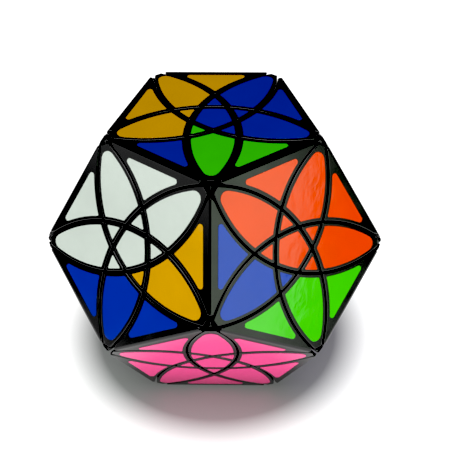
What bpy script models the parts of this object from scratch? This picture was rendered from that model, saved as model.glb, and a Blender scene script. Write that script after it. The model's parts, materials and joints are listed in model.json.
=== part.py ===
"""A dodecahedron puzzle whose corners turn.

The origin is the centre of the puzzle. +Z leaves through the middle of the top face, and -Y is the
front. The puzzle stands on the face opposite the top one.

Each of the 20 corners turns about the line from the centre through that corner. The cut that frees it
is a sphere about the corner whose radius is one edge of the dodecahedron, so the five cuts that cross a
face divide it into a centre, five small triangles, five petals and five edge triangles. Pieces of
neighbouring corners are shared, so at most four corners can turn at one time: those of a tetrahedron.
Each of those four corners is a body of its own here, and everything else stays with the core.
"""

from math import acos, atan2, cos, pi, sin, sqrt, tan

import bmesh
import bpy
from mathutils import Matrix, Vector

# Driving dimensions, in metres.
EDGE = 0.043
SHELL_DEPTH = 0.2 * EDGE  # how far the outer pieces reach in from a face
CUT_CLEARANCE = 0.0003  # every piece stands back this far from each cut
TIP_CLEARANCE = 0.0019  # a petal's tip stands back this far from the cut it would touch at a corner

# The dodecahedron that the edge length gives.
PHI = (1 + sqrt(5)) / 2
STEP = 2 * pi / 5
FACE_RADIUS = EDGE / (2 * sin(STEP / 2))
FACE_APOTHEM = EDGE / (2 * tan(STEP / 2))
INRADIUS = FACE_APOTHEM * tan(acos(-1 / sqrt(5)) / 2)
CORNER_TILT = atan2(FACE_RADIUS, INRADIUS)  # between a corner's axis and the axes of its faces
EDGE_TILT = atan2(FACE_APOTHEM, INRADIUS)  # between an edge's axis and the axes of its faces

# How finely the arcs of an outline are divided.
LONG_ARC_STEPS = 4
SHORT_ARC_STEPS = 2

# How many outlines an edge piece is lofted through. Its ends lean a long way between the face and
# SHELL_DEPTH, so with only two they would bulge into the cut.
EDGE_LEVELS = 3

# The bars under the cuts that hold one corner's petals and small triangles together.
BAR_LENGTH = 0.0028
BAR_THICKNESS = 0.0016

# Places along a corner's axis, measured from the puzzle's centre.
BALL_RADIUS = 0.36 * EDGE
POST_TOP = 0.405 * EDGE
IDLE_HUB_TOP = 0.47 * EDGE
STEM_BOTTOM = 0.42 * EDGE
HUB_FLOOR = 0.50 * EDGE
HEAD_BOTTOM = 0.71 * EDGE
HEAD_TOP = 0.76 * EDGE
FLANGE_NECK = 1.03 * EDGE
FLANGE_BOTTOM = 1.06 * EDGE
STEM_TOP = 1.13 * EDGE
SCREW_TIP = 0.22 * EDGE
SCREW_HOLE_BOTTOM = 0.20 * EDGE

# Radii about a corner's axis.
POST_RADIUS = 0.08 * EDGE
STEM_RADIUS = 0.09 * EDGE
FLANGE_RADIUS = 0.115 * EDGE
SPRING_BORE_RADIUS = 0.0029
SHANK_BORE_RADIUS = 0.0016
HEAD_RADIUS = 0.0024
SOCKET_RADIUS = 0.0012
SOCKET_DEPTH = 0.0009
SHANK_RADIUS = 0.0012
TURNING_STEPS = 12

# The spring under each screw head.
WIRE_RADIUS = 0.0003
SPRING_RADIUS = 0.0021
SPRING_TURNS = 4
SPRING_POINTS_PER_TURN = 8
SPRING_END_GAP = 0.0004

# Names of the five places round a ring, starting at the front or 36 degrees to the right of it.
FROM_FRONT = ("front", "right", "back_right", "back_left", "left")
FROM_FRONT_RIGHT = ("front_right", "right", "back", "left", "front_left")

TOP_RING_ANGLE = CORNER_TILT  # from +Z to the five corners of the top face
HIGH_RING_ANGLE = CORNER_TILT + acos(sqrt(5) / 3)  # one edge further down
FACE_RING_ANGLE = acos(1 / sqrt(5))  # from +Z to the five faces round the top one


def clear_scene():
    for thing in list(bpy.data.objects):
        bpy.data.objects.remove(thing, do_unlink=True)


def make_collection(name, helpers=False):
    collection = bpy.data.collections.new(name)
    bpy.context.scene.collection.children.link(collection)
    collection.hide_render = helpers
    return collection


def make_material(name, colour, roughness, metallic=0.0):
    material = bpy.data.materials.new(name)
    material.use_nodes = True
    surface = material.node_tree.nodes["Principled BSDF"]
    surface.inputs["Base Color"].default_value = (*colour, 1.0)
    surface.inputs["Roughness"].default_value = roughness
    surface.inputs["Metallic"].default_value = metallic
    return material


def shell_plastic():
    return make_material("shell_plastic", (0.012, 0.012, 0.013), 0.3)


def hub_plastic():
    return make_material("hub_plastic", (0.02, 0.02, 0.022), 0.45)


def screw_steel():
    return make_material("screw_steel", (0.6, 0.6, 0.62), 0.3, 1.0)


def spring_steel():
    return make_material("spring_steel", (0.5, 0.5, 0.52), 0.35, 1.0)


# Directions and frames


def ring(names, prefix, angle, first):
    """Five named unit vectors at one angle from +Z, evenly round it from the first."""
    found = {}
    for place, name in enumerate(names):
        turn = first + place * STEP
        across = Vector((sin(turn), -cos(turn), 0)) * sin(angle)
        found[prefix + name] = across + Vector((0, 0, cos(angle)))
    return found


def face_axes():
    faces = {"top": Vector((0, 0, 1))}
    faces.update(ring(FROM_FRONT_RIGHT, "upper_", FACE_RING_ANGLE, STEP / 2))
    faces.update(ring(FROM_FRONT, "lower_", pi - FACE_RING_ANGLE, 0))
    faces["bottom"] = Vector((0, 0, -1))
    return faces


def corner_axes():
    corners = ring(FROM_FRONT, "top_", TOP_RING_ANGLE, 0)
    corners.update(ring(FROM_FRONT, "high_", HIGH_RING_ANGLE, 0))
    corners.update(ring(FROM_FRONT_RIGHT, "low_", pi - HIGH_RING_ANGLE, STEP / 2))
    corners.update(ring(FROM_FRONT_RIGHT, "base_", pi - TOP_RING_ANGLE, STEP / 2))
    return corners


def near(first, second, angle):
    return abs(first.angle(second) - angle) < 0.01


def frame(up, forward):
    """A rotation that takes +Z to up, and +Y as near to forward as it can go."""
    z_axis = up.normalized()
    y_axis = (forward - forward.project(z_axis)).normalized()
    x_axis = y_axis.cross(z_axis)
    return Matrix((x_axis, y_axis, z_axis)).transposed().to_4x4()


def turn_z(angle):
    return Matrix.Rotation(angle, 4, "Z")


# Outlines, in a plane parallel to a face and a given depth below it


def corner_place(steps):
    """The face's corner this many fifths of a turn from +Y."""
    return Vector((-sin(steps * STEP), cos(steps * STEP))) * FACE_RADIUS


def cut(centre, depth, side, centre_depth=0.0, clearance=CUT_CLEARANCE):
    """Where a corner's cutting sphere crosses the plane: side is -1 for a piece inside it, 1 outside."""
    radius = sqrt(EDGE**2 - (depth - centre_depth) ** 2)
    return centre, radius + side * clearance


def crossing(first, second, near_point):
    """Of the two points where the circles cross, the one nearer to near_point."""
    (centre_a, radius_a), (centre_b, radius_b) = first, second
    apart = centre_b - centre_a
    along = (apart.length_squared + radius_a**2 - radius_b**2) / (2 * apart.length)
    across = sqrt(radius_a**2 - along**2)
    unit = apart.normalized()
    middle = centre_a + unit * along
    sideways = Vector((-unit.y, unit.x)) * across
    return min((middle + sideways, middle - sideways), key=lambda p: (p - near_point).length)


def arc(circle, start, end, steps):
    """Points along the shorter way round from start up to, but not at, end."""
    centre, radius = circle
    first = atan2(start.y - centre.y, start.x - centre.x)
    sweep = atan2(end.y - centre.y, end.x - centre.x) - first
    sweep = (sweep + pi) % (2 * pi) - pi
    angles = [first + sweep * step / steps for step in range(steps)]
    return [centre + Vector((cos(angle), sin(angle))) * radius for angle in angles]


def closed_outline(circles, near_point):
    """The outline that runs along each (circle, steps) in turn, anticlockwise."""
    points = []
    for place, (circle, steps) in enumerate(circles):
        before = circles[place - 1][0]
        after = circles[(place + 1) % len(circles)][0]
        start = crossing(before, circle, near_point)
        end = crossing(circle, after, near_point)
        points += arc(circle, start, end, steps)
    return points


def centre_outline(depth):
    """Inside all five cuts."""
    cuts = [cut(corner_place(steps), depth, -1) for steps in (3, 4, 0, 1, 2)]
    toward_corner = Vector((0, FACE_RADIUS / 5))
    first = [crossing(cuts[0], cuts[-1], toward_corner)]
    turns = [Matrix.Rotation(steps * STEP, 2) for steps in range(6)]
    ends = [turn @ first[0] for turn in turns]
    points = []
    for place, circle in enumerate(cuts):
        points += arc(circle, ends[place], ends[place + 1], SHORT_ARC_STEPS)
    return points


def small_triangle_outline(depth):
    """Outside the cut of the far corner. +Y points to the middle of an edge."""
    right, left = cut(corner_place(1.5), depth, -1), cut(corner_place(-1.5), depth, -1)
    far = cut(corner_place(2.5), depth, 1)
    arcs = [(left, 1), (far, SHORT_ARC_STEPS), (right, 1)]
    return closed_outline(arcs, Vector((0, FACE_RADIUS / 4)))


def petal_outline(depth):
    """+Y points to the petal's own corner."""
    left, right = cut(corner_place(-1), depth, -1), cut(corner_place(1), depth, -1)
    lower_left, lower_right = cut(corner_place(2), depth, 1), cut(corner_place(-2), depth, 1)
    neighbour = Vector((0, FACE_RADIUS * PHI))
    clearance = CUT_CLEARANCE + TIP_CLEARANCE
    tip = cut(neighbour, depth, 1, FACE_RADIUS, clearance)
    arcs = [(tip, 1), (left, LONG_ARC_STEPS), (lower_left, SHORT_ARC_STEPS)]
    arcs += [(lower_right, SHORT_ARC_STEPS), (right, LONG_ARC_STEPS)]
    return closed_outline(arcs, Vector((0, EDGE / 2)))


def half_edge_outline(depth):
    """+Y points to the middle of the edge. The outline is open along the plane through the edge."""
    left, right = cut(corner_place(1.5), depth, 1), cut(corner_place(-1.5), depth, 1)
    tip = crossing(left, right, Vector((0, EDGE)))
    fold = FACE_APOTHEM * (1 - depth / INRADIUS)
    centre, radius = left
    end = Vector((centre.x + sqrt(radius**2 - (fold - centre.y) ** 2), fold))
    other_end = Vector((-end.x, fold))
    points = arc(left, end, tip, LONG_ARC_STEPS) + arc(right, tip, other_end, LONG_ARC_STEPS)
    return points + [other_end]


# Solids


def add_loft(mesh, outline, placing, levels=2, open_end=False):
    """Adds the piece between the face and SHELL_DEPTH, a loft through its outlines at even depths."""
    layers = []
    for level in range(levels):
        depth = SHELL_DEPTH * level / (levels - 1)
        points = [Vector((p.x, p.y, INRADIUS - depth)) for p in outline(depth)]
        layers.append([mesh.verts.new(placing @ point) for point in points])
    mesh.faces.new(layers[0])
    mesh.faces.new(reversed(layers[-1]))
    for upper, lower in zip(layers, layers[1:]):
        sides = len(upper) - 1 if open_end else len(upper)
        for place in range(sides):
            after = (place + 1) % len(upper)
            mesh.faces.new((upper[place], lower[place], lower[after], upper[after]))


def add_bar(mesh, side, placing):
    """Adds the bar under a petal's lower cut, on the side of -X for 1 or +X for -1."""
    direction = pi * 11 / 30  # from the cutting corner to the middle of the border
    place = corner_place(2) + Vector((cos(direction), sin(direction))) * EDGE
    centre = Vector((side * place.x, place.y, INRADIUS - SHELL_DEPTH / 2))
    heading = direction if side > 0 else pi - direction
    size = Matrix.Diagonal((BAR_LENGTH, BAR_THICKNESS, BAR_THICKNESS, 1))
    matrix = placing @ Matrix.Translation(centre) @ turn_z(heading) @ size
    bmesh.ops.create_cube(mesh, size=1, matrix=matrix)


def add_cylinder(mesh, axis, radius, bottom, top):
    """Adds a cylinder between two distances from the centre along an axis."""
    placing = frame(axis, Vector((axis.y, axis.z, -axis.x)))
    middle = Matrix.Translation((0, 0, (bottom + top) / 2))
    bmesh.ops.create_cone(
        mesh, cap_ends=True, segments=TURNING_STEPS, radius1=radius, radius2=radius,
        depth=top - bottom, matrix=placing @ middle,
    )  # fmt: skip


def finished_mesh(mesh, name):
    data = bpy.data.meshes.new(name)
    mesh.to_mesh(data)
    mesh.free()
    return data


def make_object(name, data, collection, material=None, placing=None):
    thing = bpy.data.objects.new(name, data)
    collection.objects.link(thing)
    if material:
        data.materials.clear()
        data.materials.append(material)
    if placing:
        thing.matrix_world = placing
    return thing


def make_helper(name, data, collection):
    helper = make_object(name, data, collection)
    helper.hide_render = True
    helper.display_type = "WIRE"
    return helper


def add_boolean(thing, name, operation, operand):
    modifier = thing.modifiers.new(name, "BOOLEAN")
    modifier.operation = operation
    modifier.solver = "EXACT"
    modifier.use_self = operation == "UNION"
    modifier.object = operand


def turned_mesh(name, profile, closed):
    """The mesh of a profile of (radius, height) points turned about Z, from its top round its outside."""
    data = bpy.data.meshes.new(name)
    links = [(place, place + 1) for place in range(len(profile) - 1)]
    if closed:
        links.append((len(profile) - 1, 0))
    data.from_pydata([(radius, 0, height) for radius, height in profile], links, [])
    thing = bpy.data.objects.new(name, data)
    bpy.context.scene.collection.objects.link(thing)
    screw = thing.modifiers.new("Turn", "SCREW")
    screw.steps = TURNING_STEPS
    screw.render_steps = TURNING_STEPS
    screw.use_merge_vertices = True
    screw.merge_threshold = 0.00001
    return baked_mesh(thing, name)


def baked_mesh(thing, name):
    """The object's evaluated mesh, smooth but for its sharp edges. The object itself is removed."""
    bpy.context.view_layer.update()
    graph = bpy.context.evaluated_depsgraph_get()
    data = bpy.data.meshes.new_from_object(thing.evaluated_get(graph))
    data.name = name
    bpy.data.objects.remove(thing, do_unlink=True)
    data.shade_smooth()
    data.set_sharp_from_angle(angle=pi / 5)
    return data


def stem_mesh():
    """The hub that a corner turns on: a tube with a floor for the spring and a flange for the petals."""
    profile = [
        (FLANGE_RADIUS, STEM_TOP),
        (FLANGE_RADIUS, FLANGE_BOTTOM),
        (STEM_RADIUS, FLANGE_NECK),
        (STEM_RADIUS, STEM_BOTTOM),
        (SHANK_BORE_RADIUS, STEM_BOTTOM),
        (SHANK_BORE_RADIUS, HUB_FLOOR),
        (SPRING_BORE_RADIUS, HUB_FLOOR),
        (SPRING_BORE_RADIUS, STEM_TOP),
    ]
    return turned_mesh("stem", profile, closed=True)


def screw_mesh():
    profile = [
        (0, HEAD_TOP - SOCKET_DEPTH),
        (SOCKET_RADIUS, HEAD_TOP - SOCKET_DEPTH),
        (SOCKET_RADIUS, HEAD_TOP),
        (HEAD_RADIUS, HEAD_TOP),
        (HEAD_RADIUS, HEAD_BOTTOM),
        (SHANK_RADIUS, HEAD_BOTTOM),
        (SHANK_RADIUS, SCREW_TIP),
        (0, SCREW_TIP),
    ]
    return turned_mesh("screw", profile, closed=False)


def spring_curve():
    """A helix of round wire between the hub's floor and the screw's head."""
    bottom = HUB_FLOOR + SPRING_END_GAP + WIRE_RADIUS
    top = HEAD_BOTTOM - SPRING_END_GAP - WIRE_RADIUS
    steps = SPRING_TURNS * SPRING_POINTS_PER_TURN
    curve = bpy.data.curves.new("spring", "CURVE")
    curve.dimensions = "3D"
    curve.bevel_depth = WIRE_RADIUS
    curve.bevel_resolution = 0
    curve.use_fill_caps = True
    line = curve.splines.new("POLY")
    line.points.add(steps)
    for step, point in enumerate(line.points):
        turn = 2 * pi * step / SPRING_POINTS_PER_TURN
        height = bottom + (top - bottom) * step / steps
        point.co = (SPRING_RADIUS * cos(turn), SPRING_RADIUS * sin(turn), height, 1)
    return curve


def corner_cluster_mesh(name, petals, triangles, bars, helpers):
    """One corner's petals and small triangles, joined to each other and to the hub.

    Petals, triangles and bars say what each of the corner's three faces gives, in fifths of a turn from
    the corner. A bar is a petal and the side of it that the bar is on.
    """
    pieces = bmesh.new()
    for third in range(3):
        face = turn_z(third * 2 * pi / 3) @ Matrix.Rotation(CORNER_TILT, 4, "X")
        for steps in petals:
            add_loft(pieces, petal_outline, face @ turn_z(steps * STEP))
        for steps in triangles:
            add_loft(pieces, small_triangle_outline, face @ turn_z(steps * STEP))
        for steps, side in bars:
            add_bar(pieces, side, face @ turn_z(steps * STEP))
    outer = make_helper(name + "_outer", finished_mesh(pieces, name + "_outer"), helpers)
    stem = make_object(name, stem_mesh(), helpers)
    add_boolean(stem, "Join petals", "UNION", outer)
    return baked_mesh(stem, name)


def turning_cluster_mesh(helpers):
    """Three petals and four small triangles on each face of a corner that turns."""
    petals = (-1, 0, 1)
    bars = [(steps, side) for steps in petals for side in (-1, 1)]
    return corner_cluster_mesh("turning_cluster", petals, (-1.5, -0.5, 0.5, 1.5), bars, helpers)


def fixed_cluster_mesh(hand, helpers):
    """Two petals and the small triangle between them on each face of a corner that stays still."""
    bars = [(0, hand), (hand, -hand)]
    return corner_cluster_mesh("fixed_cluster", (0, hand), (0.5 * hand,), bars, helpers)


def centre_mesh():
    mesh = bmesh.new()
    add_loft(mesh, centre_outline, Matrix.Identity(4))
    return finished_mesh(mesh, "centre")


def half_edge_mesh():
    """Half of an edge piece, open at the plane y = 0. The edge's axis is Z, and the edge runs along X."""
    mesh = bmesh.new()
    placing = Matrix.Rotation(EDGE_TILT, 4, "X")
    add_loft(mesh, half_edge_outline, placing, EDGE_LEVELS, open_end=True)
    return finished_mesh(mesh, "half_edge")


def add_core(corners, turning, fixed, parts, helpers, material):
    """The ball with a post on every axis. The fixed corners' screws are part of it."""
    ball = bmesh.new()
    bmesh.ops.create_icosphere(ball, subdivisions=3, radius=BALL_RADIUS)
    core = make_object("core", finished_mesh(ball, "core"), parts, material)
    posts = bmesh.new()
    holes = bmesh.new()
    root = BALL_RADIUS * 0.8
    for name, axis in corners.items():
        idle = name not in turning and name not in fixed
        add_cylinder(posts, axis, POST_RADIUS, root, IDLE_HUB_TOP if idle else POST_TOP)
        if name in turning:
            add_cylinder(holes, axis, SHANK_BORE_RADIUS, SCREW_HOLE_BOTTOM, STEM_TOP)
        if name in fixed:
            add_cylinder(posts, axis, SHANK_RADIUS, BALL_RADIUS, (HEAD_BOTTOM + HEAD_TOP) / 2)
            add_cylinder(posts, axis, HEAD_RADIUS, HEAD_BOTTOM, HEAD_TOP)
    add_boolean(core, "Posts", "UNION", make_helper("posts", finished_mesh(posts, "posts"), helpers))
    screw_holes = make_helper("screw_holes", finished_mesh(holes, "screw_holes"), helpers)
    add_boolean(core, "Screw holes", "DIFFERENCE", screw_holes)


def add_centres(faces, corners, parts, material):
    data = centre_mesh()
    for name, axis in faces.items():
        toward = next(c for c in corners.values() if near(c, axis, CORNER_TILT))
        make_object("centre_" + name, data, parts, material, frame(axis, toward))


def add_edges(faces, parts, material):
    """One edge piece for each two faces that meet."""
    data = half_edge_mesh()
    names = list(faces)
    for place, first in enumerate(names):
        for second in names[place + 1 :]:
            if not near(faces[first], faces[second], 2 * EDGE_TILT):
                continue
            middle = (faces[first] + faces[second]).normalized()
            placing = frame(middle, faces[second] - faces[first])
            name = f"edge_{first}_and_{second}"
            edge = make_object(name, data, parts, material, placing)
            mirror = edge.modifiers.new("Other half", "MIRROR")
            mirror.use_axis = (False, True, False)
            mirror.merge_threshold = 0.00001


def corner_frame(axis, faces):
    """The rotation that takes +Z to a corner's axis and one of the cluster's faces to a real face."""
    face = next(f for f in faces.values() if near(f, axis, CORNER_TILT))
    return frame(axis, -face)


def turning_corners(corners):
    """The top front corner and the three furthest round from it that make a tetrahedron with it."""
    tetrahedral = acos(-1 / 3)
    chosen = ["top_front", "base_front_right"]
    for name, axis in corners.items():
        if all(near(axis, corners[other], tetrahedral) for other in chosen):
            chosen.append(name)
    return chosen


def fixed_corners(corners, turning):
    """The corners opposite the turning ones."""
    return [n for n, axis in corners.items() if any(near(axis, corners[t], pi) for t in turning)]


def fixed_hand(axis, faces, corners, turning):
    """1 if a fixed corner's second petal lies anticlockwise round the face from the first, or -1."""
    face = next(f for f in faces.values() if near(f, axis, CORNER_TILT))
    across = frame(face, axis)
    for name in turning:
        if near(corners[name], face, CORNER_TILT):
            return 1 if (across.transposed() @ corners[name]).x > 0 else -1
    raise ValueError("every face has one turning corner")


def main():
    clear_scene()
    parts = make_collection("dodecahedron_puzzle")
    helpers = make_collection("helpers", helpers=True)
    shell, hub = shell_plastic(), hub_plastic()
    steel, wire = screw_steel(), spring_steel()
    faces, corners = face_axes(), corner_axes()
    turning = turning_corners(corners)
    fixed = fixed_corners(corners, turning)
    add_core(corners, turning, fixed, parts, helpers, hub)
    add_centres(faces, corners, parts, shell)
    add_edges(faces, parts, shell)
    turning_mesh = turning_cluster_mesh(helpers)
    hand = fixed_hand(corners[fixed[0]], faces, corners, turning)
    fixed_mesh = fixed_cluster_mesh(hand, helpers)
    screw, spring = screw_mesh(), spring_curve()
    for name in turning:
        placing = corner_frame(corners[name], faces)
        make_object("turning_corner_" + name, turning_mesh, parts, shell, placing)
        make_object("screw_" + name, screw, parts, steel, placing)
        make_object("spring_" + name, spring, parts, wire, placing)
    for name in fixed:
        placing = corner_frame(corners[name], faces)
        make_object("fixed_corner_" + name, fixed_mesh, parts, shell, placing)


main()
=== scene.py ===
"""The looks of the dodecahedron puzzle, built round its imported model.

Every outer piece of the real puzzle is an object of its own here: a black moulded body with rounded
edges, and the vinyl stickers on it. The bodies' outlines are the arcs where the cutting spheres of the
corners cross a face, so each piece ends where the model's solids end. Below the surface, the outline is
worked out again at each depth, which makes the side walls follow the spheres.

Points in a face's plane are complex numbers, with the face's centre at 0. Lengths are in metres.
"""

import json
from cmath import exp, phase
from collections import namedtuple
from math import acos, asin, atan2, cos, pi, radians, sin, sqrt, tan

import bmesh
import bpy
from mathutils import Matrix, Vector

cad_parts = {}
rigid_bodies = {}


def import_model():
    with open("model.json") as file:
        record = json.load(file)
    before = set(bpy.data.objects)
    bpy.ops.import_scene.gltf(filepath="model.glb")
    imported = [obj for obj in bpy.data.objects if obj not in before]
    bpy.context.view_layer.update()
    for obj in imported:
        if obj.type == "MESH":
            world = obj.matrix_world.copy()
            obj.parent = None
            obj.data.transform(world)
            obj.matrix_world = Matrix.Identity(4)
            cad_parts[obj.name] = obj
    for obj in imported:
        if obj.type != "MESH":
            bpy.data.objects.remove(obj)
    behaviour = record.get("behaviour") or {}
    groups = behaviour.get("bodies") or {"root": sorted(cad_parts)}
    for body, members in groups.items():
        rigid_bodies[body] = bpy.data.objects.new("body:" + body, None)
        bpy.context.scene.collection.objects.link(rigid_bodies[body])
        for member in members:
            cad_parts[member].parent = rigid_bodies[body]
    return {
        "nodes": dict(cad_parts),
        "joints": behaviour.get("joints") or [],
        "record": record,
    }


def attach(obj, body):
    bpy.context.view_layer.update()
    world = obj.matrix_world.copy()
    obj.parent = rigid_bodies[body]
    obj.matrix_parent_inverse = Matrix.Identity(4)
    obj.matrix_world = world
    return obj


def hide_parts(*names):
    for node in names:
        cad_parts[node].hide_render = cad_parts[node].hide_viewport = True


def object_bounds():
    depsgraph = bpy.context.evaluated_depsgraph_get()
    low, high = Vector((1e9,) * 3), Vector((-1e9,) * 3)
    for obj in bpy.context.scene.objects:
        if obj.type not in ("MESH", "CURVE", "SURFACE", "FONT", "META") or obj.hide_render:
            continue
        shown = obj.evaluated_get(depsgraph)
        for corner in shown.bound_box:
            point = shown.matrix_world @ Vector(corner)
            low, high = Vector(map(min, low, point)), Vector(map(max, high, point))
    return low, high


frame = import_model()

CAD_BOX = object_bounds()

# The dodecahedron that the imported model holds.
STEP = 2 * pi / 5
PHI = (1 + sqrt(5)) / 2
FACE_ANGLE = acos(-1 / sqrt(5))  # between two faces, inside the solid
INRADIUS = (CAD_BOX[1].z - CAD_BOX[0].z) / 2
FACE_APOTHEM = INRADIUS / tan(FACE_ANGLE / 2)
EDGE = 2 * FACE_APOTHEM * tan(STEP / 2)
FACE_RADIUS = EDGE / (2 * sin(STEP / 2))
CIRCUMRADIUS = sqrt(INRADIUS**2 + FACE_RADIUS**2)
CORNER_TILT = atan2(FACE_RADIUS, INRADIUS)
CORNER_STEP = 2 * asin(EDGE / (2 * CIRCUMRADIUS))  # between two corners that share an edge
EDGE_TILT = atan2(FACE_APOTHEM, INRADIUS)
ANGLE_TOLERANCE = 0.01

# Where one point of each kind of piece lies, from the centre of its face.
PETAL_PLACE = 0.5 * EDGE
TRIANGLE_PLACE = 0.23 * EDGE
EDGE_STICKER_PLACE = 0.55 * EDGE
CAP_PLACE = 0.95 * CIRCUMRADIUS  # the same for a cap, from the puzzle's centre

# The moulded bodies.
CUT_CLEARANCE = 0.00026  # from a cut to the body beside it
BEVEL = 0.00038  # radius of the rounded edge along a cut
FOLD_ROUNDING = 0.0012  # radius of the rounded edge of the dodecahedron
WALL_DEPTHS = (0.1 * EDGE, 0.2 * EDGE, 0.3 * EDGE)
PETAL_TIP_SETBACK = 0.0020  # from the cut that would touch a petal's tip, beyond the clearance
EDGE_TIP_SETBACK = 0.0038  # from a corner of the dodecahedron to the end of an edge piece
EDGE_TIP_ROUNDING = 0.0013
EDGE_INNER_TIP = 0.4j * EDGE  # near the end of an edge piece that points to a face's centre
LARGE_FACE_WEIGHT = 80  # how much large faces steer the shading of rounded edges; 50 is not at all

# The vinyl stickers.
CENTRE_STICKER_INSET = 0.00130  # from a cut to the sticker of a face centre
SMALL_STICKER_INSET = 0.00119  # the same, for a small triangle
PETAL_STICKER_INSET = 0.00138  # the same, for a petal
EDGE_STICKER_INSET = 0.00144  # the same, for an edge piece
STICKER_FOLD_INSET = 0.00265  # from an edge of the dodecahedron to the sticker beside it
STICKER_THICKNESS = 0.00011
STICKER_SOFT_EDGE = 0.35 * STICKER_THICKNESS
STICKER_SUNK = 0.00002  # how far its underside lies in the plastic

# Corner radii of the outlines.
BODY_CORNER = 0.0006
PETAL_TIP = 0.0006
CAP_CORNER = 0.0003
STICKER_CORNER = 0.00028
STICKER_INNER_TIP = 0.00042  # of a petal or an edge sticker, at the end nearer the face's centre
STICKER_EDGE_TIP = 0.00095
STICKER_PETAL_TIP = 0.0024
SHARPEST_CORNER = 0.00005

# How finely curves are divided.
CORNER_STEPS = 5
LONG_ARC_STEPS = 20
SHORT_ARC_STEPS = 8
TIP_ARC_STEPS = 2
BEVEL_STEPS = 4
FOLD_STEPS = 4
TURNED_STEPS = 48

STRAIGHT = 1000 * EDGE  # the radius of an arc that passes for a straight line

# The caps over the screws: how far below the corner each outline lies, its inset from the cuts, and how
# much tighter its own corners are.
CAP_CLEARANCE = 0.0002  # from a cut to the cap inside it
CAP_PROFILE = (
    (0.0014, 0.00045, 0.00025),
    (0.0015, 0.0003, 0.00022),
    (0.0022, CAP_CLEARANCE, 0.00005),
    (0.0035, CAP_CLEARANCE, 0),
    (0.006, CAP_CLEARANCE, 0),
    (0.0085, CAP_CLEARANCE, 0),
    (0.0114, CAP_CLEARANCE, 0),
)

# The corner hubs' section: radii, and places along the axis, as shares of the edge.
HUB_FLANGE_RADIUS = 0.115
HUB_TOP_RADIUS = 0.09
HUB_CUP_RADIUS = 0.068
HUB_BORE_RADIUS = 0.038
HUB_SHARP_ANGLE = pi / 6  # a sharper edge than this stays sharp
HUB_PROFILE = (
    (HUB_FLANGE_RADIUS, 1.125),
    (HUB_FLANGE_RADIUS, 1.065),
    (HUB_TOP_RADIUS, 1.03),
    (HUB_TOP_RADIUS, 0.425),
    (HUB_BORE_RADIUS, 0.425),
    (HUB_BORE_RADIUS, 0.50),
    (HUB_CUP_RADIUS, 0.50),
    (HUB_CUP_RADIUS, 1.125),
)

FROM_FRONT = ("front", "right", "back_right", "back_left", "left")
FROM_FRONT_RIGHT = ("front_right", "right", "back", "left", "front_left")

# Each face's colour when the puzzle is solved, and the corner turns made since then.
SOLVED = {
    "top": "yellow",
    "upper_front_right": "green",
    "upper_right": "orange",
    "upper_back": "red",
    "upper_left": "white",
    "upper_front_left": "blue",
    "lower_front": "pink",
    "lower_right": "purple",
    "lower_back_right": "sky_blue",
    "lower_back_left": "cream",
    "lower_left": "dark_green",
    "bottom": "grey",
}
TURNS = (("top_front", 1), ("top_left", 1), ("top_right", -1))

# Linear base colours of the vinyl.
VINYL = {
    "white": (0.71, 0.79, 0.72),
    "blue": (0.0005, 0.045, 0.44),
    "green": (0.059, 0.615, 0.001),
    "yellow": (0.73, 0.385, 0.001),
    "orange": (0.86, 0.068, 0.001),
    "pink": (1.0, 0.068, 0.31),
    "red": (0.55, 0.008, 0.012),
    "purple": (0.12, 0.02, 0.30),
    "sky_blue": (0.09, 0.42, 0.78),
    "cream": (0.85, 0.73, 0.42),
    "dark_green": (0.003, 0.10, 0.04),
    "grey": (0.24, 0.25, 0.26),
}

# The camera, from the picture's perspective: angles in degrees, lengths in edges.
CAMERA_AZIMUTH = 1.13
CAMERA_ELEVATION = 39.3
CAMERA_ROLL = -0.37
CAMERA_DISTANCE = 7.72
CAMERA_RIGHT = 0.097
CAMERA_UP = 0.036
CAMERA_LENS = 73.9
BLACK_LEVEL = 0.018  # radiance that the view shows as black

# The floor: half its side, its gap below the puzzle, and its painted glow, rising from the puzzle
# outward.
FLOOR_HALF_SIDE = 0.55
FLOOR_GAP = 0.0002
# Painted light: the floor glows though it is no lamp, and lights the puzzle. The dim glow under the
# puzzle is a painted contact shadow.
PAINTED_SHADOW_GLOW = 0.1
GLOW_AROUND_PUZZLE = 1.3
GLOW_RISES_FROM = 0.045
GLOW_RISES_TO = 0.064


# Directions


def ring(names, prefix, angle, first):
    """Five named unit vectors at one angle from +Z, evenly round it from the first."""
    found = {}
    for place, name in enumerate(names):
        turn = first + place * STEP
        found[prefix + name] = Vector(
            (sin(turn) * sin(angle), -cos(turn) * sin(angle), cos(angle))
        )
    return found


def face_axes():
    faces = {"top": Vector((0, 0, 1))}
    faces.update(ring(FROM_FRONT_RIGHT, "upper_", pi - FACE_ANGLE, STEP / 2))
    faces.update(ring(FROM_FRONT, "lower_", FACE_ANGLE, 0))
    faces["bottom"] = Vector((0, 0, -1))
    return faces


def corner_axes():
    high = CORNER_TILT + CORNER_STEP
    corners = ring(FROM_FRONT, "top_", CORNER_TILT, 0)
    corners.update(ring(FROM_FRONT, "high_", high, 0))
    corners.update(ring(FROM_FRONT_RIGHT, "low_", pi - high, STEP / 2))
    corners.update(ring(FROM_FRONT_RIGHT, "base_", pi - CORNER_TILT, STEP / 2))
    return corners


FACES = face_axes()
CORNERS = corner_axes()


def near(first, second, angle):
    return abs(first.angle(second) - angle) < ANGLE_TOLERANCE


def axes(up, forward):
    """A rotation that takes +Z to up, and +Y as near to forward as it can go."""
    z_axis = up.normalized()
    y_axis = (forward - forward.project(z_axis)).normalized()
    return Matrix((y_axis.cross(z_axis), y_axis, z_axis)).transposed().to_4x4()


def inside_cut(point, corner):
    return (point - CORNERS[corner] * CIRCUMRADIUS).length < EDGE


def body_at(point):
    """The body that a piece with this point on its outer surface moves with."""
    for joint in frame["joints"]:
        if (point - Vector(joint["axis"]) * CIRCUMRADIUS).length < EDGE:
            return joint["child"]
    return frame["joints"][0]["parent"]


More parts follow.
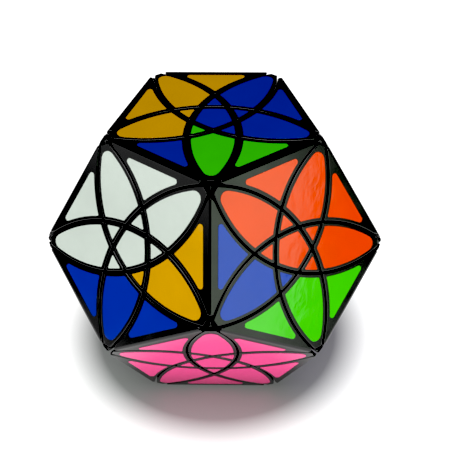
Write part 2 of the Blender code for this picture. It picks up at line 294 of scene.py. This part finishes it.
def colour_at(point):
    """The vinyl that lies here after the turns, found by turning the point back to where it came from."""
    for corner, way in reversed(TURNS):
        if inside_cut(point, corner):
            point = Matrix.Rotation(-way * 2 * pi / 3, 3, CORNERS[corner]) @ point
    return SOLVED[max(FACES, key=lambda face: FACES[face].dot(point))]


def on_face(face, toward, distance):
    """A point in the face's plane, at a distance from its centre in a direction."""
    return axes(FACES[face], toward) @ Vector((0, distance, INRADIUS))


# Outlines: anticlockwise lists of points in a plane parallel to a face, at a depth below it

Boundary = namedtuple("Boundary", "centre side setback centre_depth", defaults=(0.0, 0.0))
INSIDE, OUTSIDE = -1, 1


def corner_place(steps):
    """The face's corner this many fifths of a turn from +Y."""
    return FACE_RADIUS * 1j * exp(1j * steps * STEP)


def circle_of(boundary, depth, inset):
    """(centre, radius, side) of the boundary's arc at a depth, moved into the piece by an inset.

    A setback is in full at the surface, and fades out on the way down to the first of the wall's depths.
    """
    radius = STRAIGHT
    if abs(boundary.centre) < STRAIGHT / 2:
        radius = sqrt(EDGE**2 - (depth - boundary.centre_depth) ** 2)
    inset += boundary.setback * max(1 - max(depth, 0) / WALL_DEPTHS[0], 0)
    return boundary.centre, radius + boundary.side * inset, boundary.side


def crossing(first, second, near_point, corner_radius=0.0):
    """The centre of the rounded corner between two arcs, or where they cross if its radius is 0."""
    centre_a, radius_a, side_a = first
    centre_b, radius_b, side_b = second
    radius_a += side_a * corner_radius
    radius_b += side_b * corner_radius
    apart = centre_b - centre_a
    along = (abs(apart) ** 2 + radius_a**2 - radius_b**2) / (2 * abs(apart))
    across = sqrt(radius_a**2 - along**2)
    unit = apart / abs(apart)
    found = [centre_a + unit * complex(along, sign * across) for sign in (-1, 1)]
    return min(found, key=lambda point: abs(point - near_point))


def touch(circle, point):
    """The point of the circle in the direction of another point."""
    centre, radius, _ = circle
    return centre + (point - centre) / abs(point - centre) * radius


def arc(centre, start, end, steps):
    """Points along the shorter way round from start up to, but not at, end."""
    sweep = phase((end - centre) / (start - centre))
    return [centre + (start - centre) * exp(1j * sweep * step / steps) for step in range(steps)]


def rounded_outline(sides, depth, inset, shrink=0.0):
    """The outline round (boundary, steps, corner radius, near point) in turn.

    The corner is the one before the boundary. Shrink is how far a rounded edge has already come in, by
    which its corners are tighter.
    """
    circles = [circle_of(side[0], depth, inset) for side in sides]
    radii = [max(side[2] - shrink, SHARPEST_CORNER) for side in sides]
    centres = [
        crossing(circles[place - 1], circles[place], sides[place][3], radii[place])
        for place in range(len(sides))
    ]
    points = []
    for place, circle in enumerate(circles):
        centre = centres[place]
        following = centres[(place + 1) % len(sides)]
        start = touch(circle, centre)
        points += arc(centre, touch(circles[place - 1], centre), start, CORNER_STEPS)
        points += arc(circle[0], start, touch(circle, following), sides[place][1])
    return points


def centre_sides(corner_radius):
    """Inside all five cuts."""
    sides = []
    for steps in range(5):
        boundary = Boundary(corner_place(steps - 2), INSIDE)
        near_point = corner_place(steps) / 5
        sides.append((boundary, SHORT_ARC_STEPS, corner_radius, near_point))
    return sides


def triangle_sides(corner_radius):
    """+Y points to the middle of an edge."""
    left = Boundary(corner_place(-1.5), INSIDE)
    far = Boundary(corner_place(2.5), OUTSIDE)
    right = Boundary(corner_place(1.5), INSIDE)
    near_point = 0.25j * FACE_RADIUS
    return [(side, SHORT_ARC_STEPS, corner_radius, near_point) for side in (left, far, right)]


def petal_sides(corner_radius, tip_radius, cut_tip):
    """+Y points to the petal's own corner. A body's tip is cut by the sphere of the corner below it."""
    near_point = 0.5j * EDGE
    left = (Boundary(corner_place(-1), INSIDE), LONG_ARC_STEPS, tip_radius, near_point)
    lower_left = (Boundary(corner_place(2), OUTSIDE), SHORT_ARC_STEPS, corner_radius, near_point)
    lower_right = (Boundary(corner_place(-2), OUTSIDE), SHORT_ARC_STEPS, corner_radius, near_point)
    right = (Boundary(corner_place(1), INSIDE), LONG_ARC_STEPS, corner_radius, near_point)
    sides = [left, lower_left, lower_right, right]
    if cut_tip:
        below = Boundary(corner_place(0) * PHI, OUTSIDE, PETAL_TIP_SETBACK, FACE_RADIUS)
        sides.insert(0, (below, TIP_ARC_STEPS, tip_radius, near_point))
    return sides


def edge_sticker_sides():
    """+Y points to the middle of the edge."""
    near_point = 0.5j * EDGE
    left = Boundary(corner_place(1.5), OUTSIDE)
    right = Boundary(corner_place(-1.5), OUTSIDE)
    extra = STICKER_FOLD_INSET - EDGE_STICKER_INSET
    fold = Boundary(1j * (FACE_APOTHEM - STRAIGHT), INSIDE, extra)
    left_end = near_point - EDGE / 4
    right_end = near_point + EDGE / 4
    return [
        (left, LONG_ARC_STEPS, STICKER_EDGE_TIP, left_end),
        (right, LONG_ARC_STEPS, STICKER_INNER_TIP, EDGE_INNER_TIP),
        (fold, 1, STICKER_EDGE_TIP, right_end),
    ]


# Layers: from the top of a solid down, (depth, inset, how much tighter its corners are)


def body_layers():
    """A quarter round, then the wall down to the inner end of the piece."""
    layers = []
    for step in range(BEVEL_STEPS + 1):
        angle = pi / 2 * (1 - step / BEVEL_STEPS)
        shrink = BEVEL * (1 - cos(angle))
        layers.append((BEVEL * (1 - sin(angle)), CUT_CLEARANCE + shrink, shrink))
    return layers + [(depth, CUT_CLEARANCE, 0.0) for depth in WALL_DEPTHS]


def sticker_layers(inset):
    """A thin slab with a soft upper edge, sunk a little into the plastic."""
    return [
        (-STICKER_THICKNESS, inset + STICKER_SOFT_EDGE, STICKER_SOFT_EDGE),
        (STICKER_SOFT_EDGE - STICKER_THICKNESS, inset, 0.0),
        (STICKER_SUNK, inset, 0.0),
    ]


def place_outline(points, depth, placing):
    return [placing @ Vector((point.real, point.imag, INRADIUS - depth)) for point in points]


def add_solid(mesh, layers, material):
    """Adds the closed solid through the layers' points, given from the top down."""
    made = [[mesh.verts.new(point) for point in layer] for layer in layers]
    faces = [mesh.faces.new(made[0]), mesh.faces.new(reversed(made[-1]))]
    for upper, lower in zip(made, made[1:]):
        for place in range(len(upper)):
            before = place - 1
            corners = (upper[before], lower[before], lower[place], upper[place])
            faces.append(mesh.faces.new(corners))
    for face in faces:
        face.material_index = material


def add_outlined(mesh, sides, layers, placing, material):
    add_solid(
        mesh,
        [place_outline(rounded_outline(sides, *layer), layer[0], placing) for layer in layers],
        material,
    )


# Edge pieces, in a frame whose +Z is the edge's axis and whose X runs along the edge

TO_EDGE_FRAME = Matrix.Rotation(EDGE_TILT, 4, "X")
MIRROR_Y = Matrix.Diagonal((1, -1, 1, 1))


def fold_drop(across):
    """How far the rounded fold lies below the sharp one, at a distance across it."""
    if across >= FOLD_ROUNDING * sin(EDGE_TILT):
        return 0.0
    flat = FOLD_ROUNDING / cos(EDGE_TILT) - across * tan(EDGE_TILT)
    return flat - sqrt(FOLD_ROUNDING**2 - across**2)


def half_edge_loop(depth, inset, shrink):
    """One half's outline as points in the edge's frame, from one end of the fold round to the other."""
    left = circle_of(Boundary(corner_place(1.5), OUTSIDE), depth, inset)
    right = circle_of(Boundary(corner_place(-1.5), OUTSIDE), depth, inset)
    fold = FACE_APOTHEM * (1 - depth / INRADIUS)
    end = EDGE / 2 - EDGE_TIP_SETBACK - shrink
    starts = []
    for step in range(FOLD_STEPS + 1):
        across = FOLD_ROUNDING * sin(EDGE_TILT * step / FOLD_STEPS)
        height = fold - across / cos(EDGE_TILT)
        reach = left[0].real + sqrt(left[1] ** 2 - (height - left[0].imag) ** 2)
        rounding = EDGE_TIP_ROUNDING - sqrt(EDGE_TIP_ROUNDING**2 - (fold - height) ** 2)
        starts.append(complex(max(reach, rounding - end), height))
    ends = [-start.conjugate() for start in reversed(starts)]
    radius = max(BODY_CORNER - shrink, SHARPEST_CORNER)
    tip = crossing(left, right, EDGE_INNER_TIP, radius)
    points = starts[:-1]
    points += arc(left[0], touch(left, starts[-1]), touch(left, tip), LONG_ARC_STEPS)
    points += arc(tip, touch(left, tip), touch(right, tip), CORNER_STEPS)
    points += arc(right[0], touch(right, tip), touch(right, ends[0]), LONG_ARC_STEPS)
    placed = place_outline(points + ends, depth, TO_EDGE_FRAME)
    return [point - Vector((0, 0, fold_drop(abs(point.y)))) for point in placed]


def add_edge_body(mesh):
    """Both halves as one solid, with strips of faces along the rounded fold."""
    levels = []
    for layer in body_layers():
        front = [mesh.verts.new(point) for point in half_edge_loop(*layer)]
        inner = [mesh.verts.new(MIRROR_Y @ vertex.co) for vertex in front[1:-1]]
        levels.append((front, [front[0], *inner, front[-1]]))
    for half in (0, 1):
        loops = [level[half] for level in levels]
        for upper, lower in zip(loops, loops[1:]):
            for place in range(len(upper) - 1):
                after = place + 1
                mesh.faces.new((upper[place], lower[place], lower[after], upper[after]))
        for cap in (loops[0], loops[-1]):
            mesh.faces.new(cap[FOLD_STEPS : len(cap) - FOLD_STEPS])
            for step in range(FOLD_STEPS):
                corners = (cap[step], cap[step + 1], cap[-2 - step], cap[-1 - step])
                mesh.faces.new(corners)


# Pieces


def make_piece(name, mesh, placing, materials, body, node=None):
    """Makes the object in the puzzle's frame, with flat faces kept flat, and lets it ride on its body."""
    bmesh.ops.recalc_face_normals(mesh, faces=mesh.faces)
    mesh.transform(placing)
    data = bpy.data.meshes.new(name)
    mesh.to_mesh(data)
    mesh.free()
    for material in materials:
        data.materials.append(material)
    data.shade_smooth()
    piece = bpy.data.objects.new(name, data)
    bpy.context.scene.collection.objects.link(piece)
    smoothing = piece.modifiers.new("Flat faces stay flat", "WEIGHTED_NORMAL")
    smoothing.weight = LARGE_FACE_WEIGHT
    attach(piece, body)
    if node:
        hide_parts(node)
    return piece


def make_single(name, body_sides, sticker_sides, inset, face, toward, distance, node):
    """Makes a one-coloured piece: a body and the sticker on it."""
    mesh = bmesh.new()
    unmoved = Matrix.Identity(4)
    add_outlined(mesh, body_sides, body_layers(), unmoved, 0)
    add_outlined(mesh, sticker_sides, sticker_layers(inset), unmoved, 1)
    place = on_face(face, toward, distance)
    materials = [SHELL, STICKERS[colour_at(place)]]
    make_piece(name, mesh, axes(FACES[face], toward), materials, body_at(place), node)


def cluster_of(face, place):
    """The model's node for the petals and small triangles that turn, or stay, together here."""
    body = body_at(place)
    nodes = frame["record"]["behaviour"]["bodies"][body]
    for node in nodes:
        corner = node.partition("_corner_")[2]
        if corner and near(CORNERS[corner], FACES[face], CORNER_TILT):
            return node
    raise ValueError(f"no corner of {body} is on {face}")


def make_face_pieces(face):
    corners = [name for name, axis in CORNERS.items() if near(axis, FACES[face], CORNER_TILT)]
    others = [name for name, axis in FACES.items() if near(axis, FACES[face], pi - FACE_ANGLE)]
    make_single(
        "face_centre_" + face,
        centre_sides(BODY_CORNER),
        centre_sides(STICKER_CORNER),
        CENTRE_STICKER_INSET,
        face,
        CORNERS[corners[0]],
        0.0,
        "centre_" + face,
    )
    for corner in corners:
        node = cluster_of(face, on_face(face, CORNERS[corner], PETAL_PLACE))
        body_sides = petal_sides(BODY_CORNER, PETAL_TIP, cut_tip=True)
        sticker_sides = petal_sides(STICKER_INNER_TIP, STICKER_PETAL_TIP, cut_tip=False)
        make_single(
            f"petal_{face}_at_{corner}",
            body_sides,
            sticker_sides,
            PETAL_STICKER_INSET,
            face,
            CORNERS[corner],
            PETAL_PLACE,
            node,
        )
    for other in others:
        node = cluster_of(face, on_face(face, FACES[other], TRIANGLE_PLACE))
        make_single(
            f"triangle_{face}_toward_{other}",
            triangle_sides(BODY_CORNER),
            triangle_sides(STICKER_CORNER),
            SMALL_STICKER_INSET,
            face,
            FACES[other],
            TRIANGLE_PLACE,
            node,
        )


def make_edge_piece(first, second):
    """Makes the two-coloured piece over the edge where two faces meet."""
    mesh = bmesh.new()
    add_edge_body(mesh)
    materials = [SHELL]
    for number, (face, other) in enumerate(((first, second), (second, first)), start=1):
        placing = TO_EDGE_FRAME if number == 1 else MIRROR_Y @ TO_EDGE_FRAME
        add_outlined(mesh, edge_sticker_sides(), sticker_layers(EDGE_STICKER_INSET), placing, number)
        place = on_face(face, FACES[other], EDGE_STICKER_PLACE)
        materials.append(STICKERS[colour_at(place)])
    placing = axes(FACES[first] + FACES[second], FACES[second] - FACES[first])
    body = body_at((FACES[first] + FACES[second]).normalized() * CIRCUMRADIUS)
    name = f"edge_piece_{first}_and_{second}"
    make_piece(name, mesh, placing, materials, body, f"edge_{first}_and_{second}")


def make_cap(corner):
    """Makes the three-sided cap over a corner's screw, whose tip shows between the petals."""
    mesh = bmesh.new()
    axis = CORNERS[corner]
    neighbour = next(other for other in CORNERS.values() if near(other, axis, CORNER_STEP))
    height = CIRCUMRADIUS * cos(CORNER_STEP)
    distance = CIRCUMRADIUS * sin(CORNER_STEP)
    sides = []
    for third in range(3):
        centre = distance * 1j * exp(2j * pi * third / 3)
        boundary = Boundary(centre, INSIDE, centre_depth=INRADIUS - height)
        sides.append((boundary, TIP_ARC_STEPS, CAP_CORNER, 0))
    layers = [(INRADIUS - CIRCUMRADIUS + below, inset, shrink) for below, inset, shrink in CAP_PROFILE]
    add_outlined(mesh, sides, layers, Matrix.Identity(4), 0)
    body = body_at(axis * CAP_PLACE)
    make_piece("corner_cap_" + corner, mesh, axes(axis, neighbour), [SHELL], body)


def make_hub(node, body):
    """Makes the turned hub inside a corner: a cup for the spring, with a flange under the petals."""
    corner = node.partition("_corner_")[2]
    mesh = bmesh.new()
    loops = []
    for step in range(TURNED_STEPS):
        turn = Matrix.Rotation(2 * pi * step / TURNED_STEPS, 3, "Z")
        profile = [turn @ Vector((radius, 0, height)) * EDGE for radius, height in HUB_PROFILE]
        loops.append([mesh.verts.new(point) for point in profile])
    for loop, after in zip(loops, loops[1:] + loops[:1]):
        for place in range(len(loop)):
            mesh.faces.new((loop[place - 1], loop[place], after[place], after[place - 1]))
    name = "corner_hub_" + corner
    axis = CORNERS[corner]
    hub = make_piece(name, mesh, axes(axis, Vector((axis.y, axis.z, -axis.x))), [HUB], body, node)
    hub.data.set_sharp_from_angle(angle=HUB_SHARP_ANGLE)


# Materials


class Nodes:
    """A material's node tree, with its Principled shader."""

    def __init__(self, name):
        self.material = bpy.data.materials.new(name)
        self.material.use_nodes = True
        self.tree = self.material.node_tree
        self.surface = self.tree.nodes["Principled BSDF"]

    def add(self, kind, **values):
        """Adds a node and sets its inputs by name, with _ for a space. A socket as a value is linked."""
        node = self.tree.nodes.new("ShaderNode" + kind)
        for name, value in values.items():
            self.set(node.inputs[name.replace("_", " ")], value)
        return node

    def set(self, socket, value):
        if isinstance(value, bpy.types.NodeSocket):
            self.tree.links.new(value, socket)
        else:
            socket.default_value = value

    def shade(self, **values):
        for name, value in values.items():
            self.set(self.surface.inputs[name.replace("_", " ")], value)

    def place(self, stretch=(1, 1, 1)):
        """The puzzle's own coordinates, stretched."""
        coordinates = self.add("TexCoord").outputs["Object"]
        return self.add("Mapping", Vector=coordinates, Scale=stretch).outputs["Vector"]

    def noise(self, scale, detail=2.0, stretch=(1, 1, 1)):
        node = self.add("TexNoise", Vector=self.place(stretch), Scale=scale, Detail=detail)
        return node.outputs["Fac"]

    def spread(self, value, low, high, start=0.3, stop=0.7):
        """Maps a value between start and stop, where most noise lies by default, to low and high."""
        node = self.add("MapRange", Value=value)
        limits = {"From Min": start, "From Max": stop, "To Min": low, "To Max": high}
        for name, number in limits.items():
            node.inputs[name].default_value = number
        return node.outputs["Result"]

    def product(self, first, second):
        node = self.add("Math")
        node.operation = "MULTIPLY"
        self.set(node.inputs[0], first)
        self.set(node.inputs[1], second)
        return node.outputs["Value"]

    def mix(self, factor, first, second):
        node = self.add("MixRGB", Fac=factor)
        node.inputs["Color1"].default_value = (*first, 1)
        node.inputs["Color2"].default_value = (*second, 1)
        return node.outputs["Color"]

    def bump(self, height, strength, distance, normal=None):
        node = self.add("Bump", Strength=strength, Distance=distance, Height=height)
        if normal:
            self.tree.links.new(normal, node.inputs["Normal"])
        return node.outputs["Normal"]


def shell_plastic():
    """Black moulded plastic: a fine grain, patches rubbed smoother by hands, and paler worn edges."""
    nodes = Nodes("black_moulded_plastic")
    edges = nodes.add("NewGeometry").outputs["Pointiness"]
    worn = nodes.spread(edges, low=0, high=1, start=0.52, stop=0.62)
    patches = nodes.spread(nodes.noise(scale=220, detail=4), low=0, high=0.8)
    black = (0.0025, 0.0026, 0.0028)
    worn_black = (0.010, 0.010, 0.010)
    colour = nodes.mix(nodes.product(worn, patches), black, worn_black)
    rubbed = nodes.spread(nodes.noise(scale=70, detail=3), low=0.14, high=0.25)
    grain = nodes.bump(nodes.noise(scale=2600, detail=2), strength=0.12, distance=0.00003)
    scuffs = nodes.noise(scale=160, detail=3, stretch=(1, 9, 1))
    deepest = nodes.spread(scuffs, low=0, high=1, start=0.62, stop=0.72)
    normal = nodes.bump(deepest, strength=0.15, distance=0.00002, normal=grain)
    nodes.shade(Base_Color=colour, Roughness=rubbed, Normal=normal, Specular_IOR_Level=0.5)
    return nodes.material


def vinyl(name, colour):
    """A glossy sticker: slight unevenness of the print, faint wrinkles and the film's orange peel."""
    nodes = Nodes("vinyl_" + name)
    darker = tuple(channel * 0.93 for channel in colour)
    print_tone = nodes.spread(nodes.noise(scale=90, detail=4), low=0, high=1)
    printed = nodes.mix(print_tone, darker, colour)
    roughness = nodes.spread(nodes.noise(scale=130, detail=3), low=0.08, high=0.14)
    peel = nodes.bump(nodes.noise(scale=1500, detail=1), strength=0.1, distance=0.00002)
    wrinkles = nodes.noise(scale=420, detail=3, stretch=(1, 0.22, 1))
    normal = nodes.bump(wrinkles, strength=0.55, distance=0.00008, normal=peel)
    nodes.shade(Base_Color=printed, Roughness=roughness, Normal=normal, Specular_IOR_Level=0.45)
    return nodes.material


def hub_plastic():
    """Matt black plastic with a coarser grain."""
    nodes = Nodes("matt_black_plastic")
    mottle = nodes.noise(scale=120, detail=3)
    colour = nodes.mix(mottle, (0.010, 0.010, 0.011), (0.018, 0.018, 0.019))
    grain = nodes.bump(nodes.noise(scale=1800, detail=3), strength=0.2, distance=0.00004)
    roughness = nodes.spread(nodes.noise(scale=300), low=0.42, high=0.55)
    nodes.shade(Base_Color=colour, Roughness=roughness, Normal=grain)
    return nodes.material


def steel(name, tone):
    """Bright steel with fine marks from drawing or turning."""
    nodes = Nodes(name)
    marks = nodes.noise(scale=700, detail=4, stretch=(1, 1, 12))
    darker = tuple(channel * 0.8 for channel in tone)
    colour = nodes.mix(marks, darker, tone)
    roughness = nodes.spread(marks, low=0.22, high=0.38)
    normal = nodes.bump(marks, strength=0.1, distance=0.00002)
    nodes.shade(Base_Color=colour, Roughness=roughness, Normal=normal, Metallic=1.0)
    return nodes.material


def glowing_floor_with_painted_shadow():
    """Pale studio floor that glows as painted light on the puzzle, except under it, where a dim glow
    paints a contact shadow.
    """
    nodes = Nodes("glowing_floor_painted_shadow")
    coordinates = nodes.add("TexCoord").outputs["Object"]
    length = nodes.add("VectorMath", Vector=coordinates)
    length.operation = "LENGTH"
    distance = length.outputs["Value"]
    # Painted glow and shadow: bright emission round the puzzle, dimmed under it as a painted contact
    # shadow.
    painted_glow_and_shadow = nodes.spread(
        distance, PAINTED_SHADOW_GLOW, GLOW_AROUND_PUZZLE, GLOW_RISES_FROM, GLOW_RISES_TO
    )
    nodes.shade(Base_Color=(0.35, 0.35, 0.35, 1), Roughness=0.9, Specular_IOR_Level=0.1)
    nodes.shade(Emission_Color=(1, 1, 1, 1), Emission_Strength=painted_glow_and_shadow)
    return nodes.material


# The studio


def direction(azimuth, elevation):
    """From the puzzle: azimuth 0 is the front, and 90 its right."""
    turn, rise = radians(azimuth), radians(elevation)
    return Vector((sin(turn) * cos(rise), -cos(turn) * cos(rise), sin(rise)))


def make_floor():
    mesh = bmesh.new()
    bmesh.ops.create_grid(mesh, x_segments=8, y_segments=8, size=FLOOR_HALF_SIDE)
    data = bpy.data.meshes.new("floor")
    mesh.to_mesh(data)
    mesh.free()
    data.materials.append(glowing_floor_with_painted_shadow())
    floor = bpy.data.objects.new("floor", data)
    floor.location.z = CAD_BOX[0].z - FLOOR_GAP
    bpy.context.scene.collection.objects.link(floor)


def make_softbox(name, azimuth, elevation, distance, width, height, brightness, lean=0):
    """Makes a lit panel that faces the puzzle, and returns its light.

    Brightness is the panel's radiance, where 1 shows as white. Lean turns it about its own middle.
    """
    light = bpy.data.lights.new(name, "AREA")
    light.shape = "RECTANGLE"
    light.size = width
    light.size_y = height
    light.energy = brightness * pi * width * height
    softbox = bpy.data.objects.new(name, light)
    away = direction(azimuth, elevation)
    softbox.location = away * distance
    softbox.rotation_euler = away.to_track_quat("Z", "Y").to_euler()
    softbox.rotation_euler.rotate_axis("Z", radians(lean))
    bpy.context.scene.collection.objects.link(softbox)
    return light


def make_lights():
    """A key overhead, a low fill in front, a leaning greenish panel at the right and a weak one left."""
    make_softbox(
        "key_softbox", azimuth=-7, elevation=72, distance=1.0, width=0.8, height=0.5, brightness=5.8
    )
    make_softbox(
        "front_softbox", azimuth=0, elevation=7, distance=0.9, width=0.3, height=0.2, brightness=4.0
    )
    right_light = make_softbox(
        "right_softbox",
        azimuth=44,
        elevation=12,
        distance=0.8,
        width=0.6,
        height=0.46,
        brightness=2.4,
        lean=-35,
    )
    right_light.color = (0.9, 1.06, 0.87)
    make_softbox(
        "left_softbox", azimuth=-70, elevation=22, distance=0.8, width=0.5, height=0.4, brightness=0.9
    )


def make_world():
    """White behind everything, which lights nothing."""
    world = bpy.data.worlds.new("studio")
    world.use_nodes = True
    tree = world.node_tree
    background = tree.nodes["Background"]
    seen = tree.nodes.new("ShaderNodeLightPath").outputs["Is Camera Ray"]
    tree.links.new(seen, background.inputs["Strength"])
    background.inputs["Color"].default_value = (1, 1, 1, 1)
    bpy.context.scene.world = world


def make_camera():
    away = direction(CAMERA_AZIMUTH, CAMERA_ELEVATION)
    placing = axes(away, Vector((0, 0, 1)))
    roll = Matrix.Rotation(radians(CAMERA_ROLL), 4, "Z")
    offset = Vector((CAMERA_RIGHT, CAMERA_UP, CAMERA_DISTANCE)) * EDGE
    data = bpy.data.cameras.new("camera")
    data.lens = CAMERA_LENS
    camera = bpy.data.objects.new("camera", data)
    camera.matrix_world = placing @ roll @ Matrix.Translation(offset)
    bpy.context.scene.collection.objects.link(camera)
    bpy.context.scene.camera = camera
    view = bpy.context.scene.view_settings
    view.view_transform = "Standard"
    view.use_curve_mapping = True
    view.curve_mapping.black_level = (BLACK_LEVEL,) * 3
    view.curve_mapping.update()


SHELL = shell_plastic()
HUB = hub_plastic()
STICKERS = {name: vinyl(name, colour) for name, colour in VINYL.items()}


def paint_inner_nodes():
    """The core, screws and springs keep the model's shapes and get their materials."""
    paints = {
        "core": HUB,
        "screw": steel("screw_steel_turned", (0.62, 0.62, 0.64)),
        "spring": steel("spring_steel_drawn", (0.5, 0.5, 0.53)),
    }
    for name, node in frame["nodes"].items():
        kind = name.partition("_")[0]
        if kind in paints:
            for slot in node.material_slots:
                slot.material = paints[kind]


def main():
    make_camera()
    make_floor()
    make_lights()
    make_world()
    paint_inner_nodes()
    names = list(FACES)
    for place, face in enumerate(names):
        make_face_pieces(face)
        for other in names[place + 1 :]:
            if near(FACES[face], FACES[other], pi - FACE_ANGLE):
                make_edge_piece(face, other)
    for corner in CORNERS:
        make_cap(corner)
    for body, nodes in frame["record"]["behaviour"]["bodies"].items():
        for node in nodes:
            if "_corner_" in node:
                make_hub(node, body)


main()
